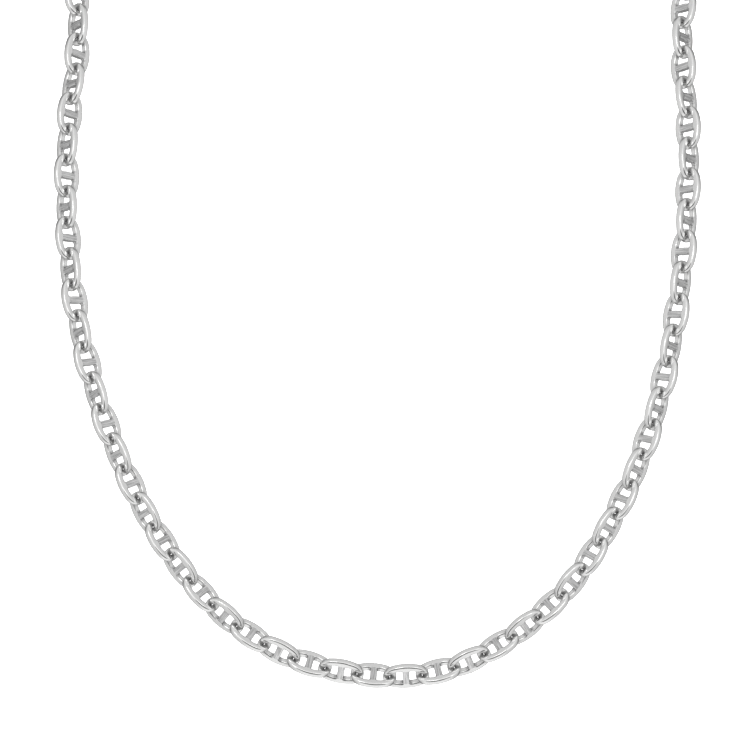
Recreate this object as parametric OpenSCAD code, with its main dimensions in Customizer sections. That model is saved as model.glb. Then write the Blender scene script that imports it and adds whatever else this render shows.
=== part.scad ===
// A mariner link chain, worn as a necklace: oval links with a bar across each,
// every link turned across its neighbours, closed by a plain barrel clasp at the nape.
// The middle of the clasp rests on the nape at the origin, and the front of the chain faces -Y.

/* [Link] */
// Length of a link over its two ends
link_l = 7.7; // [7.2:0.1:8.2]
// Width of a link over its two sides
link_w = 5.0; // [4.7:0.1:5.4]
// Thickness of a link's wire, which is nearly square
wire = 1.02; // [0.9:0.02:1.06]
// How much is worn off each corner of the wire
corner = 0.28; // [0.2:0.01:0.3]
// How far a link's long sides bow out beyond its round ends
side_bow = 0.29; // [0.2:0.01:0.4]

/* [Bar] */
// Width of the bar across the middle of a link
bar_w = 1.1; // [0.8:0.05:1.15]
// How far the bar's two faces lie below the faces of the wire
bar_inset = 0.03; // [0.02:0.01:0.1]
// Radius of the fillets where the bar meets the wire
bar_fillet = 0.4; // [0.2:0.02:0.45]

/* [Chain] */
// Width of the loop of chain between its two sides
loop_w = 105; // [100:0.5:115]
// How far in front of the nape the chain hangs
loop_d = 80.8; // [76:0.2:88]
// How far below the nape the chain hangs
loop_h = 157.2; // [150:0.2:175]
// Slack between two links, measured along the chain when it is drawn tight
play = 0.2; // [0.2:0.01:0.32]

/* [Clasp] */
// Length of the clasp's barrel
barrel_l = 7.6; // [6:0.1:9]
// Diameter of the barrel at its middle
barrel_d = 3.2; // [2.8:0.1:4]
// Diameter of the barrel at its two ends
barrel_end_d = 2.3; // [2:0.1:2.6]
// Diameter over the ring at each end of the clasp
eye_d = 3.54; // [3.4:0.02:4]
// Diameter of the round wire of these rings
eye_wire = 0.84; // [0.7:0.02:0.9]

/* [Hidden] */

// The chosen way of the chain, from the left of the clasp round the front to its right, which is
// then fitted to the loop's three sizes. It hangs a little uneven, as a worn chain does. Columns: x, y, z
way_points = [
    [-19.5, -3, 1],
    [-32, -10.5, 0],
    [-42, -20.5, -4],
    [-49, -32, -11],
    [-51.5, -43.5, -21],
    [-52, -53, -33.5],
    [-50.5, -60, -49.5],
    [-52, -65.5, -65.5],
    [-52, -69.5, -81.5],
    [-50.2, -73.5, -97],
    [-46, -76.5, -113],
    [-39.8, -78.5, -127.8],
    [-32.5, -79.5, -139.5],
    [-24.5, -80.5, -148],
    [-13.5, -80.8, -154.5],
    [-0.5, -80.8, -157.2],
    [10.5, -80.8, -156.5],
    [20.5, -80.5, -152],
    [31, -80, -143.5],
    [38.5, -79, -132.5],
    [44.5, -77.2, -119.5],
    [48.8, -74.5, -104],
    [51.5, -71, -86],
    [52.5, -66, -67.5],
    [51.6, -60.5, -50.5],
    [53, -53, -33.5],
    [52.7, -43.8, -19.7],
    [50.9, -31.8, -9.4],
    [44.2, -19.1, -2.7],
    [33, -9.1, 0.5],
    [19.8, -2.5, 1.3]
];

// Height above which the chain has left the front and bends back round the neck
shoulder_z = -45;
// Height up to which the links hang as the lowest ones do
low_z = -140;
// Height from which they hang as those at the sides do
side_z = -110;
// Degrees that a link's width is turned out of the front. Columns: at the bottom, at the sides
leans = [
    [46, 41],
    [-43, -52]
];
// Distance from the clasp over which the links turn to pass square through its rings
settle_l = 76;

// Depth that each ring of the clasp is sunk into the barrel
eye_sink = 0.4;
// Difference in size between a link's ends and its sides, so that one passes into the other
join_step = 0.01;
// Degrees by which a link's sides run on into its ends
join_lap = 1.3;
half_turn = 180;
// Straight pieces that each stretch between two points of the way is measured in
way_steps = 12;
$fn = 96;

half_l = (link_l - wire) / 2;
half_w = (link_w - wire) / 2;
end_r = half_w - side_bow;
end_x = half_l - end_r;
side_r = (half_l ^ 2 + half_w ^ 2 - 2 * half_l * end_r) / (2 * side_bow);
side_y = side_r - half_w;
end_sweep = 2 * atan2(side_y, end_x);

eye_r = (eye_d - eye_wire) / 2;
eye_x = barrel_l / 2 - eye_sink + eye_d / 2;
clasp_reach = eye_x + eye_r - eye_wire / 2 - play / 2;
clasp_y = barrel_d / 2;

function clamp(v) = max(0, min(1, v));
function unit(v) = v / norm(v);

// A smooth curve through b and c, with a before them and d after them
function curve(a, b, c, d, t) =
    (2 * b + (c - a) * t + (2 * a - 5 * b + 4 * c - d) * t ^ 2 + (3 * b - a - 3 * c + d) * t ^ 3) / 2;

function column(points, axis) = [for (p = points) p[axis]];
way_fit = [
    loop_w / (max(column(way_points, 0)) - min(column(way_points, 0))),
    -loop_d / min(column(way_points, 1)),
    -loop_h / min(column(way_points, 2))
];
fitted = [for (p = way_points) [for (axis = [0:2]) p[axis] * way_fit[axis]]];
way_ends = [[-clasp_reach, clasp_y, 0], [clasp_reach, clasp_y, 0]];
knots = concat([way_ends[0]], fitted, [way_ends[1]]);
stretches = len(knots) - 1;
way = concat(
    [for (i = [0:stretches - 1], k = [0:way_steps - 1])
        curve(
            knots[max(i - 1, 0)], knots[i], knots[i + 1], knots[min(i + 2, stretches)], k / way_steps
        )],
    [way_ends[1]]
);
way_s = [for (i = 0, s = 0; i < len(way); s = s + norm(way[min(i + 1, len(way) - 1)] - way[i]), i = i + 1) s];
way_l = way_s[len(way) - 1];
way_xyz = [for (axis = [0:2]) [for (i = [0:len(way) - 1]) [way_s[i], way[i][axis]]]];
function at(s) = [for (axis = [0:2]) lookup(s, way_xyz[axis])];

// An even number of links shares out the way
links = 2 * ceil(way_l / (link_l - 2 * wire - play) / 2);
pitch = way_l / links;
left_links = links / 2;

// The side of the chain that faces forward at the front, and up at the nape
function facing(z) = let(a = 90 * clamp(1 - z / shoulder_z)) [0, -cos(a), sin(a)];
function lean(i, z) =
    let(
        set = leans[i % 2],
        up = clamp((z - low_z) / (side_z - low_z)),
        from_clasp = min(i, links - 1 - i) * pitch,
        hang = set[0] + (set[1] - set[0]) * up,
        square = (i % 2 == 0 ? 0 : -90) + (i < left_links ? 0 : 90),
        free = clamp(from_clasp / settle_l)
    )
    square + (hang - square) * free;

module wire_section(less) {
    h = wire / 2 - less;
    c = wire / 2 - corner;
    polygon([[c, -h], [h, -c], [h, c], [c, h], [-c, h], [-h, c], [-h, -c], [-c, -h]]);
}

module wire_arc(r, sweep, less = 0) {
    rotate(-sweep / 2)
    rotate_extrude(angle = sweep)
    translate([r, 0])
    wire_section(less);
}

module bar() {
    opening = half_w - wire / 2 - bar_fillet;
    translate([0, 0, bar_inset - wire / 2])
    linear_extrude(wire - 2 * bar_inset)
    difference() {
        square([bar_w + 2 * bar_fillet, 2 * half_w], center = true);
        for (side = [-1, 1])
            translate([side * (bar_w / 2 + bar_fillet), 0]) {
                square([2 * bar_fillet, 2 * opening], center = true);
                for (up = [-1, 1])
                    translate([0, up * opening])
                    circle(bar_fillet);
            }
    }
}

module link() {
    for (half = [0, half_turn])
        rotate(half) {
            translate([end_x, 0, 0])
            wire_arc(end_r, end_sweep);
            translate([0, -side_y, 0])
            rotate(90)
            wire_arc(side_r, half_turn - end_sweep + 2 * join_lap, join_step);
        }
    bar();
}

// Link number i, its length along the way and its width across it
module placed_link(i) {
    from = at(i * pitch);
    to = at((i + 1) * pitch);
    middle = (from + to) / 2;
    along = unit(to - from);
    outward = unit(cross(along, facing(middle.z)));
    forward = cross(outward, along);
    turn = lean(i, middle.z);
    across = outward * cos(turn) + forward * sin(turn);
    normal = cross(along, across);
    multmatrix([for (r = [0:2]) [along[r], across[r], normal[r], middle[r]]])
    link();
}

module chain_left() {
    color("silver")
    for (i = [0:left_links - 1])
        placed_link(i);
}

module chain_right() {
    color("silver")
    for (i = [left_links:links - 1])
        placed_link(i);
}

module clasp() {
    bow = (barrel_d - barrel_end_d) / 2;
    bow_r = (barrel_l ^ 2 / 4 + bow ^ 2) / (2 * bow);
    color("silver")
    translate([0, clasp_y, 0]) {
        rotate([0, 90, 0])
        rotate_extrude()
        intersection() {
            translate([barrel_d / 2 - bow_r, 0])
            circle(bow_r);
            translate([0, -barrel_l / 2])
            square([barrel_d, barrel_l]);
        }
        for (side = [-1, 1])
            translate([side * eye_x, 0, 0])
            rotate([90, 0, 0])
            rotate_extrude()
            translate([eye_r, 0])
            circle(eye_wire / 2);
    }
}

chain_left();
chain_right();
clasp();
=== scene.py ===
# %% [markdown]
# # A silver mariner chain
# A mariner chain is made of oval links with a bar across the middle of each, like the studded
# links of an anchor cable. Every link is turned across its neighbours. This lesson dresses the
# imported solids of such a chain: it keeps every link in its place, and gives it the soft edges and
# the polish of real silver wire.
#
# The solids come first. Everything else is set against them, so nothing has to be fitted by eye.

import math

import bmesh
import bpy
import numpy as np
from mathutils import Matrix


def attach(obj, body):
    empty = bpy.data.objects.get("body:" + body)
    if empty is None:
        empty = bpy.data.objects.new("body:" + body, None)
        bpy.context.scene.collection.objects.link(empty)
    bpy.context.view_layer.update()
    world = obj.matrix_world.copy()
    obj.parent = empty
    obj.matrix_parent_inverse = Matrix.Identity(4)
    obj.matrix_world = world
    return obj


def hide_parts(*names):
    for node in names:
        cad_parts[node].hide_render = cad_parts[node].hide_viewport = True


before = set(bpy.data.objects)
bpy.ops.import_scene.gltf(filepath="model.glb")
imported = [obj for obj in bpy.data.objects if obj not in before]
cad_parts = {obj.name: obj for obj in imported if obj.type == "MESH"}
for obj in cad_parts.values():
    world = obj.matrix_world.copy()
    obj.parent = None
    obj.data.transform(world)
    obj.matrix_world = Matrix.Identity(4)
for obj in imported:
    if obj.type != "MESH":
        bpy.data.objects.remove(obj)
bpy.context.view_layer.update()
MM = 0.001
print("nodes:", sorted(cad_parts))

# %% [markdown]
# ## Where each link sits
# A jeweller closes the links one through the other, so each one has a place and a roll of its
# own. They could be typed in again here, but they are already in the solids. A node's mesh falls
# apart into its loose links, and the way a link's volume is spread tells its three directions: it
# is spread furthest along its length, less across its width and least through its thickness.

# %% Split a chain into its loose links
SAME_POINT = 1e-6


def loose_links(node):
    """The triangles of each link that a node holds, as arrays of corner points.

    Each link is followed from its first face, so the links come in the same order on every run.
    """
    mesh = bmesh.new()
    mesh.from_mesh(node.data)
    bmesh.ops.remove_doubles(mesh, verts=mesh.verts, dist=SAME_POINT)
    bmesh.ops.triangulate(mesh, faces=mesh.faces)
    seen, links = set(), []
    for first in mesh.faces:
        if first in seen:
            continue
        seen.add(first)
        waiting, link = [first], []
        while waiting:
            face = waiting.pop()
            link.append([v.co[:] for v in face.verts])
            for edge in face.edges:
                for other in edge.link_faces:
                    if other not in seen:
                        seen.add(other)
                        waiting.append(other)
        links.append(np.array(link))
    mesh.free()
    return links


# %% Read a link's place and directions
def pyramids(a, b, c):
    """Volume between each triangle and the origin. Together they make up the link's volume."""
    return np.einsum("ij,ij->i", a, np.cross(b, c)) / 6


def place_of(triangles):
    """Centre of a link, and its directions along, across and through as columns."""
    start = triangles.mean((0, 1))
    a, b, c = (triangles - start).transpose(1, 0, 2)
    volume = pyramids(a, b, c)
    middle = ((a + b + c) * volume[:, None]).sum(0) / 4 / volume.sum()
    a, b, c = a - middle, b - middle, c - middle
    volume = pyramids(a, b, c)
    spread = sum(np.einsum("n,ni,nj->ij", volume, p, p) for p in (a, b, c, a + b + c))
    directions = np.linalg.eigh(spread)[1][:, ::-1]
    directions[:, 2] = np.cross(directions[:, 0], directions[:, 1])
    return start + middle, directions


places = {
    side: [place_of(link) for link in loose_links(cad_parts["chain_" + side])]
    for side in ("left", "right")
}
print("links:", {side: len(found) for side, found in places.items()})

# %% [markdown]
# ## The line of a link
# The wire of a link follows an oval of four arcs: a tight one round each end, where the next link
# hangs, and a long flat one down each side. Its length, width and wire are the ones of the solid.
# The rings of the mesh are set along that line, closer together where it bends most.

# %% The oval line
LINK_L, LINK_W, WIRE = 7.7 * MM, 5.0 * MM, 1.02 * MM
SIDE_BOW = 0.29 * MM
# How square the wire is: 1 would be a sharp corner, and 0.71 a round wire
SIDE_CORNER, END_CORNER = 0.85, 0.79
half_l, half_w = (LINK_L - WIRE) / 2, (LINK_W - WIRE) / 2
end_r = half_w - SIDE_BOW
end_x = half_l - end_r
side_r = (half_l**2 + half_w**2 - 2 * half_l * end_r) / (2 * SIDE_BOW)
side_y = side_r - half_w
end_half_turn = math.atan2(side_y, end_x)


def oval_ring(x_sign, y_sign, along=None, turn=None):
    """A point of the line, its outward direction and how square the wire is there."""
    if turn is None:
        y = math.sqrt(side_r**2 - along**2)
        out = (x_sign * along / side_r, y_sign * y / side_r)
        return (x_sign * along, y_sign * (y - side_y)), out, SIDE_CORNER
    out = (x_sign * math.cos(turn), y_sign * math.sin(turn))
    corner = END_CORNER + (SIDE_CORNER - END_CORNER) * turn / end_half_turn
    return (x_sign * end_x + end_r * out[0], end_r * out[1]), out, corner


# %% Rings round the whole oval
BAR_W = 1.1 * MM
SIDE_RINGS = (BAR_W * 0.62, BAR_W * 1.35)
END_RINGS = [end_half_turn * share for share in (1.0, 0.62, 0.21)]
quarter = [dict(along=a) for a in SIDE_RINGS] + [dict(turn=t) for t in END_RINGS]
rings = [oval_ring(1, 1, along=0.0)] + [oval_ring(1, 1, **q) for q in quarter]
rings += [oval_ring(1, -1, **q) for q in reversed(quarter)] + [oval_ring(1, -1, along=0.0)]
rings += [oval_ring(-1, -1, **q) for q in quarter]
rings += [oval_ring(-1, 1, **q) for q in reversed(quarter)]
print("rings round a link:", len(rings))

# %% [markdown]
# ## The wire
# The wire is drawn nearly square and then tumbled with the finished chain, which rounds its
# corners. Eight points round each ring are enough for that, because the mesh is subdivided. But
# subdivision pulls a cage inwards, so a cage drawn on the wanted surface comes out too thin. The
# helper below asks the opposite question: which cage gives a smooth line through these points?

# %% Find the cage that lands on the wanted points
def cage_for(points):
    """Cage of a closed row of points, along the first axis, whose smooth line runs through them."""
    count = len(points)
    # The smooth line takes 4 parts of a cage point to 1 part of each neighbour
    pull = np.eye(count) * 4 + np.roll(np.eye(count), 1, 0) + np.roll(np.eye(count), -1, 0)
    return np.linalg.solve(pull / 6, points.reshape(count, -1)).reshape(points.shape)


# %% The wire's cage
# A little thicker than the solid's wire, to make up for its rounded corners. The inset keeps its
# outer side in place, so the link is no longer and no wider
SHOWN_WIRE = 1.06 * MM
inset = (SHOWN_WIRE - WIRE) / 2


def wire_section(corner):
    """Eight points round the wire: outwards in the link, and through its thickness."""
    points = [(1, 0), (corner, corner), (0, 1), (-corner, corner)]
    points += [(-out, -through) for out, through in points]
    return [(SHOWN_WIRE / 2 * out - inset, SHOWN_WIRE / 2 * through) for out, through in points]


wanted = np.array([
    [(x + ox * out, y + oy * out, through) for out, through in wire_section(corner)]
    for (x, y), (ox, oy), corner in rings
])
wire_cage = cage_for(wanted)
wire_cage = cage_for(wire_cage.transpose(1, 0, 2)).transpose(1, 0, 2)
ROUND = wire_cage.shape[1]
print("cage of the wire:", len(wire_cage), "rings of", ROUND, "points")

# %% [markdown]
# ## The bar
# The bar is soldered in from side to side, flush with the wire, and the solder leaves a small
# fillet in each corner. One mesh shows this best: two openings are left in the inner side of the
# wire, and the bar grows out of their edges, so the subdivision rounds the fillets by itself.

# %% The rows of the bar
BAR_T = WIRE - 0.06 * MM
BAR_ROWS = (1.02 * MM, 0.42 * MM)
# The cage stands this much outside the bar and the wire beside it, because smoothing pulls it in
BAR_SWELL, WIRE_SWELL = 1.04, 1.02
bar_edge, bar_face = BAR_W / 2 * BAR_SWELL, BAR_T / 2 * BAR_SWELL
bar_section = [
    (-bar_edge, bar_face), (0, bar_face), (bar_edge, bar_face), (bar_edge, 0),
    (bar_edge, -bar_face), (0, -bar_face), (-bar_edge, -bar_face), (-bar_edge, 0),
]
BAR_CORNERS, CORNER_CREASE = (0, 2, 4, 6), 0.55
# The rings at the middle of the link's two sides, and the points of a ring that face inwards
UPPER, LOWER = 0, 11
INNER, INNER_TOP, INNER_BOTTOM = 4, 3, 5


def opening_in_wire(ring):
    """Ring and section numbers round the opening in one side of the wire, in the bar's order."""
    before, after = (ring - 1) % len(rings), (ring + 1) % len(rings)
    if ring == LOWER:
        before, after = after, before
    top = [(before, INNER_TOP), (ring, INNER_TOP), (after, INNER_TOP)]
    bottom = [(after, INNER_BOTTOM), (ring, INNER_BOTTOM), (before, INNER_BOTTOM)]
    return top + [(after, INNER)] + bottom + [(before, INNER)]


# %% Join wire and bar in one cage
def link_cage():
    """One link as a cage of four-sided faces."""
    mesh = bmesh.new()
    crease = mesh.edges.layers.float.new("crease_edge")
    wire = [[mesh.verts.new(p) for p in ring] for ring in wire_cage]
    for side in (UPPER, LOWER):
        for part, z in ((INNER_TOP, BAR_T / 2), (INNER_BOTTOM, -BAR_T / 2)):
            wire[side][part].co.z = z * WIRE_SWELL
    left_open = {(side, part) for side in (UPPER, LOWER) for part in (INNER_TOP, INNER)}
    for r in range(len(wire)):
        after = (r + 1) % len(wire)
        for s in range(ROUND):
            if (r, s) in left_open or (after, s) in left_open:
                continue
            n = (s + 1) % ROUND
            mesh.faces.new((wire[r][s], wire[after][s], wire[after][n], wire[r][n]))
    rows = [[wire[r][s] for r, s in opening_in_wire(UPPER)]]
    for y in (BAR_ROWS[0], BAR_ROWS[1], -BAR_ROWS[1], -BAR_ROWS[0]):
        rows.append([mesh.verts.new((x, y, z)) for x, z in bar_section])
    rows.append([wire[r][s] for r, s in opening_in_wire(LOWER)])
    for near, far in zip(rows, rows[1:]):
        for s in range(ROUND):
            n = (s + 1) % ROUND
            mesh.faces.new((near[s], near[n], far[n], far[s]))
    bmesh.ops.recalc_face_normals(mesh, faces=mesh.faces)
    for near, far in zip(rows[1:-1], rows[2:-1]):
        for s in BAR_CORNERS:
            mesh.edges.get((near[s], far[s]))[crease] = CORNER_CREASE
    return mesh


# %% Smooth the cage into the finished link
def smooth_link(levels):
    """Points and four-sided faces of the finished link."""
    mesh = link_cage()
    data = bpy.data.meshes.new("link_cage")
    mesh.to_mesh(data)
    mesh.free()
    cage = bpy.data.objects.new("link_cage", data)
    bpy.context.scene.collection.objects.link(cage)
    smooth = cage.modifiers.new("smooth", "SUBSURF")
    smooth.levels = smooth.render_levels = levels
    finished = cage.evaluated_get(bpy.context.evaluated_depsgraph_get()).to_mesh()
    points = np.array([v.co for v in finished.vertices])
    faces = np.array([p.vertices for p in finished.polygons])
    bpy.data.objects.remove(cage)
    return points, faces


link_points, link_faces = smooth_link(levels=2)
size = (link_points.max(0) - link_points.min(0)) / MM
print("finished link %.2f x %.2f x %.2f mm, %d faces" % (*size, len(link_faces)))

# %% [markdown]
# ## The grain of the metal
# Polishing leaves hair lines that follow the wire round, and file lines that run along the bar.
# A texture can only follow them if each point knows where it lies on its link: how far along the
# wire or the bar, and where across it. The polishing wheel doesn't reach into the ends of the
# openings and the corners beside the bar, so each point also knows how far out of reach it is.
# The same value darkens the colour there, as painted shade where the links interlock. Both are
# worked out once and stored with the mesh.

# %% Where each point lies along the metal
def grain_of(points):
    """Distances along and across the wire or bar for each point, and which points are the bar's."""
    x, y, z = points.T
    ends = np.abs(x) > end_x + end_r * math.cos(end_half_turn) * np.abs(y) / half_w
    round_end = np.arctan2(np.abs(y), np.abs(x) - end_x)
    round_side = np.arctan2(np.abs(x), np.abs(y) + side_y)
    along = np.where(ends, end_half_turn - round_end, 0) * end_r
    along = np.where(ends, along + side_r * (math.pi / 2 - end_half_turn), round_side * side_r)
    out_at_end = np.hypot(x - np.sign(x) * end_x, y) - end_r
    out_at_side = np.hypot(x, np.abs(y) + side_y) - side_r
    out = np.where(ends, out_at_end, out_at_side)
    on_bar = (np.abs(y) < half_w - WIRE / 2) & (np.abs(x) < BAR_W)
    along = np.where(on_bar, y, along * np.sign(x) * np.sign(y))
    across = np.where(on_bar, x, out)
    return np.stack([along, across, z], 1) / MM, on_bar


# %% Where the polishing wheel doesn't reach, and where shade is painted
# The inner side of the wire, as shares of the end's radius: where it starts and how it fades in
INNER_START, INNER_FADE = 1.06, 0.3
# How far from the link's middle the hollow ends start, and how they fade in
END_START, END_FADE = 1.5 * MM, 1.0 * MM
# The corners beside the bar: where they lie, how wide they are and how much they count
CORNER_X, CORNER_R, CORNER_SHARE = 0.75 * BAR_W, 0.3 * MM, 0.7


def hollow_of(points):
    """How far each point is out of reach of the polishing wheel, from 0 to 1. The same value sets
    the painted shade in the hollows.
    """
    x, y = np.abs(points[:, 0]), points[:, 1]
    to_line = np.hypot(np.maximum(x - end_x, 0), y) / end_r
    inner = np.clip((INNER_START - to_line) / INNER_FADE, 0, 1)
    near_end = np.clip((x - END_START) / END_FADE, 0, 1)
    from_corner = np.hypot(x - CORNER_X, np.abs(y) - half_w + WIRE / 2)
    in_corner = np.clip(1 - from_corner / CORNER_R, 0, 1)
    return np.maximum(inner * near_end, CORNER_SHARE * in_corner)


link_grain, link_on_bar = grain_of(link_points)
link_hollow = hollow_of(link_points)
bar_faces = link_on_bar[link_faces].all(1)
print("faces on the bar:", int(bar_faces.sum()))

# %% [markdown]
# ## The chain
# Ninety links make the chain. They could be ninety objects, but a chain is worn and moved as one
# thing, so each half is two pieces of mesh: the links at the front and the ones that go round the
# neck. Each point also carries its link's number, so that no two links are polished quite alike.

# %% Set the links in their places
def keep_with_points(mesh, name, kind, field, values):
    """Stores a value for each point of a mesh, for the metal to read."""
    mesh.attributes.new(name, kind, "POINT").data.foreach_set(field, values.ravel())


def string_links(name, chosen, first_number):
    """One piece that holds the chosen links."""
    count, link_size = len(chosen), len(link_points)
    points = [link_points @ directions.T + middle for middle, directions in chosen]
    faces = [link_faces + i * link_size for i in range(count)]
    numbers = np.repeat(np.arange(first_number, first_number + count, dtype=float), link_size)
    data = bpy.data.meshes.new(name)
    data.from_pydata(np.concatenate(points), [], np.concatenate(faces))
    data.polygons.foreach_set("use_smooth", np.ones(len(data.polygons), bool))
    data.polygons.foreach_set("material_index", np.tile(bar_faces, count).astype(int))
    keep_with_points(data, "grain", "FLOAT_VECTOR", "vector", np.tile(link_grain, (count, 1)))
    keep_with_points(data, "hollow", "FLOAT", "value", np.tile(link_hollow, count))
    keep_with_points(data, "link_number", "FLOAT", "value", numbers)
    piece = bpy.data.objects.new(name, data)
    bpy.context.scene.collection.objects.link(piece)
    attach(piece, "root")
    return piece


# %% String both halves of the chain
# Height below which the links hang at the front, and the step in link numbers between pieces
FRONT_BELOW, NUMBER_STEP = -0.075, 100
chain = []
for side, found in places.items():
    front = [p for p in found if p[0][2] < FRONT_BELOW]
    back = [p for p in found if p[0][2] >= FRONT_BELOW]
    for part, chosen in (("front", front), ("neck", back)):
        piece = string_links(f"{side}_{part}_links", chosen, NUMBER_STEP * len(chain))
        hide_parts("chain_" + side)
        chain.append(piece)
        print(piece.name, len(chosen), "links,", 2 * len(piece.data.polygons), "triangles")

# %% [markdown]
# ## Polished silver
# Polished silver has almost no colour of its own: it shows what stands round it. What makes it
# read as metal close by is that the polish is never perfect. Fine hair lines run along the wire,
# and the shine wanders a little from link to link. The bars are filed and then only brushed, so
# they stay satin, with coarser lines, and their colour is painted darker than the wire's, as
# painted shade for the grey their flat faces show. The hollows are darkened with painted shade
# where the links interlock. The clasp is turned on a lathe, so its lines run round it. One recipe
# with other values gives all three finishes.

# %% A helper for shader nodes
def add_node(tree, kind, settings=None, **inputs):
    """Adds a node, sets its settings and values, and links the sockets that are passed in.

    An input goes by its label, or by i and its number where several inputs share a label.
    """
    node = tree.nodes.new(kind)
    for key, value in (settings or {}).items():
        setattr(node, key, value)
    for key, value in inputs.items():
        numbered = key[0] == "i" and key[1:].isdigit()
        socket = node.inputs[int(key[1:]) if numbered else key.replace("_", " ")]
        if isinstance(value, bpy.types.NodeSocket):
            tree.links.new(value, socket)
        else:
            socket.default_value = value
    return node


# %% Helpers for values, sums and blends
def stored(tree, name, output="Fac"):
    """A value that was stored with the points of the mesh."""
    return add_node(tree, "ShaderNodeAttribute", dict(attribute_name=name)).outputs[output]


def calculate(tree, operation, *values):
    """The result of a sum with one, two or three values."""
    inputs = {f"i{place}": value for place, value in enumerate(values)}
    return add_node(tree, "ShaderNodeMath", dict(operation=operation), **inputs).outputs[0]


def vectors(tree, operation, **inputs):
    """A sum with directions or places in space."""
    return add_node(tree, "ShaderNodeVectorMath", dict(operation=operation), **inputs)


def stretch(tree, value, span, to=(0.0, 1.0), kind="LINEAR"):
    """Stretches the values of one span over another, and holds them at its ends."""
    ends = dict(i1=span[0], i2=span[1], i3=to[0], i4=to[1])
    node = add_node(tree, "ShaderNodeMapRange", dict(interpolation_type=kind), Value=value, **ends)
    return node.outputs[0]


def blend(tree, share, first, second):
    """The first colour, with a share of the second mixed in."""
    kind = dict(data_type="RGBA")
    return add_node(tree, "ShaderNodeMix", kind, Factor=share, i6=first, i7=second).outputs[2]


def noise(tree, place, number, pattern):
    """A soft random value for each place, different for each link number."""
    kind = dict(noise_dimensions="4D")
    return add_node(
        tree, "ShaderNodeTexNoise", kind, Vector=place, W=number, **pattern
    ).outputs["Fac"]


# %% Silver
HAIRS = dict(Scale=1.0, Detail=4.0, Roughness=0.6)
CLOUDS = dict(Scale=0.9, Detail=2.0)
# How much the hair lines count beside the clouds in the roughness
HAIRS_TO_CLOUDS = 0.55
# The spans of the patterns that the roughness and the colour run over
ROUGH_SPAN, TINT_SPAN = (0.45, 1.05), (0.36, 0.64)
# How much rougher the deepest hollow is, and how much painted shade darkens its colour
HOLLOW_ROUGH, PAINTED_SHADE_SHARE = 0.2, 0.5
# The dark grey of the painted shade in the hollows, where the links interlock and shade falls
PAINTED_SHADE_COLOUR = (0.16, 0.16, 0.165, 1)


def silver(name, colour, dark_colour, roughness, hair_line, hair_depth, lathe_turned=False):
    """Metal with hair lines along its grain. roughness is a pair: the least and the most."""
    material = bpy.data.materials.new(name)
    material.use_nodes = True
    tree = material.node_tree
    number, hollow = stored(tree, "link_number"), stored(tree, "hollow")
    if lathe_turned:
        place = add_node(tree, "ShaderNodeTexCoord").outputs["Object"]
        grain = vectors(tree, "SCALE", Vector=place, Scale=1 / MM).outputs[0]
    else:
        grain = stored(tree, "grain", "Vector")
    drawn_out = vectors(tree, "MULTIPLY", i0=grain, i1=hair_line).outputs[0]
    hairs = noise(tree, drawn_out, number, HAIRS)
    clouds = noise(tree, grain, number, CLOUDS)
    mixed = calculate(tree, "MULTIPLY_ADD", hairs, HAIRS_TO_CLOUDS, clouds)
    rough = stretch(tree, mixed, ROUGH_SPAN, roughness)
    rough = calculate(tree, "MULTIPLY_ADD", hollow, HOLLOW_ROUGH, rough)
    tint_and_shade = blend(tree, stretch(tree, hairs, TINT_SPAN), dark_colour, colour)
    # Painted shade: the colour goes towards a dark grey in the hollows where the links interlock
    tint_and_shade = blend(tree, calculate(tree, "MULTIPLY", hollow, PAINTED_SHADE_SHARE), tint_and_shade, PAINTED_SHADE_COLOUR)
    bump = add_node(tree, "ShaderNodeBump", Strength=1.0, Distance=hair_depth, Height=hairs)
    shader = tree.nodes["Principled BSDF"]
    shader.inputs["Metallic"].default_value = 1.0
    tree.links.new(rough, shader.inputs["Roughness"])
    tree.links.new(tint_and_shade, shader.inputs["Base Color"])
    tree.links.new(bump.outputs[0], shader.inputs["Normal"])
    return material


# %% The three finishes
polished = silver(
    "polished_silver", colour=(0.97, 0.97, 0.965, 1), dark_colour=(0.90, 0.90, 0.895, 1),
    roughness=(0.05, 0.14), hair_line=(0.8, 22.0, 22.0), hair_depth=0.0015 * MM,
)
# The bars' colour is darker than the wire's: painted shade for the grey that their flat faces show
satin = silver(
    "satin_silver", colour=(0.9, 0.9, 0.9, 1), dark_colour=(0.52, 0.52, 0.52, 1),
    roughness=(0.16, 0.28), hair_line=(0.4, 4.5, 4.5), hair_depth=0.006 * MM,
)
turned = silver(
    "turned_silver", colour=(0.97, 0.97, 0.965, 1), dark_colour=(0.88, 0.88, 0.875, 1),
    roughness=(0.07, 0.2), hair_line=(24.0, 1.2, 1.2), hair_depth=0.002 * MM, lathe_turned=True,
)
for piece in chain:
    piece.data.materials.append(polished)
    piece.data.materials.append(satin)
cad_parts["clasp"].material_slots[0].material = turned
print("finishes:", polished.name, satin.name, turned.name)

# %% [markdown]
# ## The studio
# Jewellery is photographed in a white tent. The silver mirrors the white in front of it, and grey
# cards at the sides and behind draw a thin dark line along every edge. The floor is bright, so the
# undersides don't go black, and a dark hood below the lens draws the thin line along the lowest
# links. Two soft lights stand beside the lens. The white sheet ends far behind the chain, so that
# the chain can be looked at from behind too, and the silver doesn't mirror it.

# %% The white sweep
# How far the sheet reaches to each side, and the radius of the curve that joins floor and wall
WIDE, BACK, FRONT, DOWN, UP, BEND = 4.0, 4.0, -4.0, -0.42, 3.0, 0.6
BEND_TURNS = np.linspace(0.1, math.pi / 2, 14)
PAPER_WHITE, PAPER_ROUGHNESS, PAPER_GLOW = 0.9, 0.9, 0.8


def grey(level):
    """A grey without any colour."""
    return (level, level, level, 1)


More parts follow.
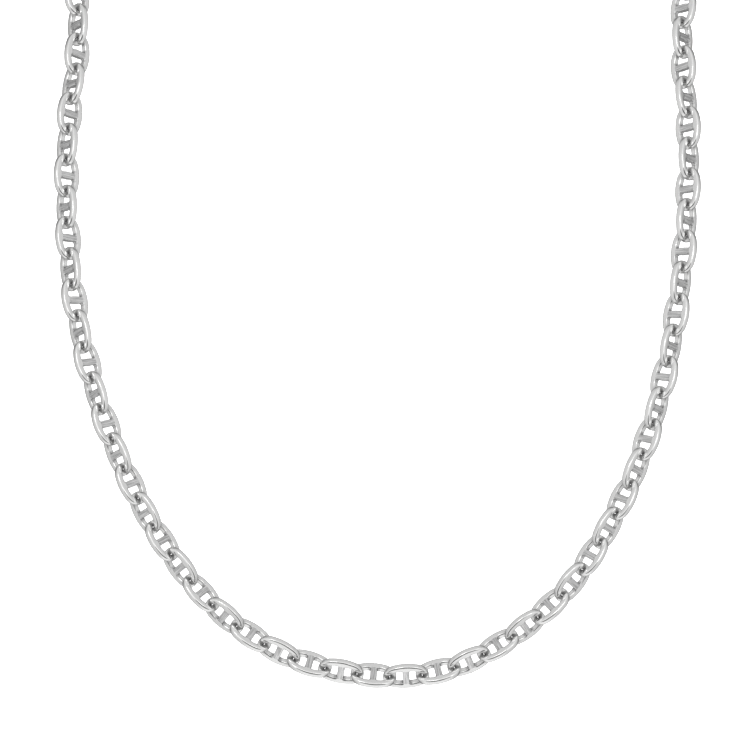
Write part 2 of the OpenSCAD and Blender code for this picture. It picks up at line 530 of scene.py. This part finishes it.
def sweep():
    """Floor and back wall in one sheet, joined by a wide curve."""
    line = [(FRONT, DOWN), (BACK - BEND, DOWN)]
    for turn in BEND_TURNS:
        line.append((BACK - BEND + BEND * math.sin(turn), DOWN + BEND - BEND * math.cos(turn)))
    line.append((BACK, UP))
    points = [(x, y, z) for y, z in line for x in (-WIDE, WIDE)]
    faces = [(2 * i, 2 * i + 1, 2 * i + 3, 2 * i + 2) for i in range(len(line) - 1)]
    data = bpy.data.meshes.new("sweep")
    data.from_pydata(points, [], faces)
    data.polygons.foreach_set("use_smooth", np.ones(len(faces), bool))
    sheet = bpy.data.objects.new("sweep", data)
    bpy.context.scene.collection.objects.link(sheet)
    paper = bpy.data.materials.new("white_paper")
    paper.use_nodes = True
    shader = paper.node_tree.nodes["Principled BSDF"]
    shader.inputs["Base Color"].default_value = grey(PAPER_WHITE)
    shader.inputs["Roughness"].default_value = PAPER_ROUGHNESS
    shader.inputs["Emission Color"].default_value = grey(1.0)
    shader.inputs["Emission Strength"].default_value = PAPER_GLOW
    data.materials.append(paper)
    sheet.visible_glossy = False
    print("sweep:", len(faces), "strips")


sweep()

# %% The tent
# How bright the tent is from straight in front of the chain, at 0, to straight behind it, at 1
TENT_GREYS = [
    (0.0, 0.98), (0.08, 0.96), (0.16, 0.82), (0.26, 0.74), (0.38, 0.68), (0.52, 0.63),
    (0.63, 0.58), (0.7, 0.4), (0.77, 0.2), (0.86, 0.24), (0.94, 0.4), (1.0, 0.75),
]
# Where each starts and is full: the floor by how steeply one looks down, the hood by how near
# its middle one looks
FLOOR_SPAN, FLOOR_GREY = (-0.7, -0.97), 0.88
HOOD_SPAN, HOOD_GREY = (0.8, 0.85), 0.1
HOOD_DROP = math.radians(36)
HOOD = (0.0, -math.cos(HOOD_DROP), -math.sin(HOOD_DROP))


def tent():
    """Light from all round: white in front, grey at the sides and behind."""
    world = bpy.data.worlds.new("tent")
    bpy.context.scene.world = world
    world.use_nodes = True
    tree = world.node_tree
    direction = add_node(tree, "ShaderNodeTexCoord").outputs["Generated"]
    part = add_node(tree, "ShaderNodeSeparateXYZ", Vector=direction)
    depth = stretch(tree, part.outputs["Y"], (-1.0, 1.0))
    ramp = add_node(tree, "ShaderNodeValToRGB", Fac=depth)
    elements = ramp.color_ramp.elements
    while len(elements) < len(TENT_GREYS):
        elements.new(0.5)
    for element, (at, level) in zip(elements, TENT_GREYS):
        element.position = at
        element.color = grey(level)
    low = stretch(tree, part.outputs["Z"], FLOOR_SPAN, kind="SMOOTHSTEP")
    room = blend(tree, low, ramp.outputs["Color"], grey(FLOOR_GREY))
    to_hood = vectors(tree, "DOT_PRODUCT", i0=direction, i1=HOOD).outputs["Value"]
    in_hood = stretch(tree, to_hood, HOOD_SPAN, kind="SMOOTHSTEP")
    room = blend(tree, in_hood, room, grey(HOOD_GREY))
    seen = add_node(tree, "ShaderNodeLightPath").outputs["Is Camera Ray"]
    background = tree.nodes["Background"]
    tree.links.new(blend(tree, seen, room, grey(1.0)), background.inputs["Color"])
    background.inputs["Strength"].default_value = 1.0
    print("tent:", len(elements), "greys")


tent()

# %% Two soft lights
LIGHTS_AIM = np.array((0.0, -0.07, -0.1))


def soft_light(name, place, width, power):
    """A square light that looks at the front of the chain."""
    light = bpy.data.lights.new(name, "AREA")
    light.size, light.energy = width, power
    lamp = bpy.data.objects.new(name, light)
    bpy.context.scene.collection.objects.link(lamp)
    lamp.location = place
    aim = LIGHTS_AIM - place
    tilt = math.atan2(math.hypot(aim[0], aim[1]), -aim[2])
    lamp.rotation_euler = (tilt, 0, math.atan2(-aim[0], aim[1]))
    print("%s: %.2f W, %.2f m wide" % (name, power, width))


soft_light("key_light", place=(-0.35, -1.15, 0.45), width=0.35, power=0.7)
soft_light("fill_light", place=(0.5, -1.2, 0.2), width=0.3, power=0.28)

# %% [markdown]
# ## The camera
# The picture is taken level, from about a metre away with a long lens, so that the chain's U
# isn't bent by perspective.

# %% The camera
FRONT_OF_CHAIN, DISTANCE = -0.0808, 1.1
PICTURE_X, PICTURE_Z = -0.00033, -0.107235
LENS, FILM_WIDTH, NEAREST = 317.9, 36.0, 0.01
view = bpy.data.cameras.new("camera")
view.lens, view.sensor_width, view.clip_start = LENS, FILM_WIDTH, NEAREST
camera = bpy.data.objects.new("camera", view)
bpy.context.scene.collection.objects.link(camera)
camera.location = (PICTURE_X, FRONT_OF_CHAIN - DISTANCE, PICTURE_Z)
camera.rotation_euler = (math.pi / 2, 0, 0)
bpy.context.scene.camera = camera
bpy.context.scene.view_settings.view_transform = "Standard"
print("camera: %.1f mm lens, %.2f m in front of the chain" % (LENS, DISTANCE))
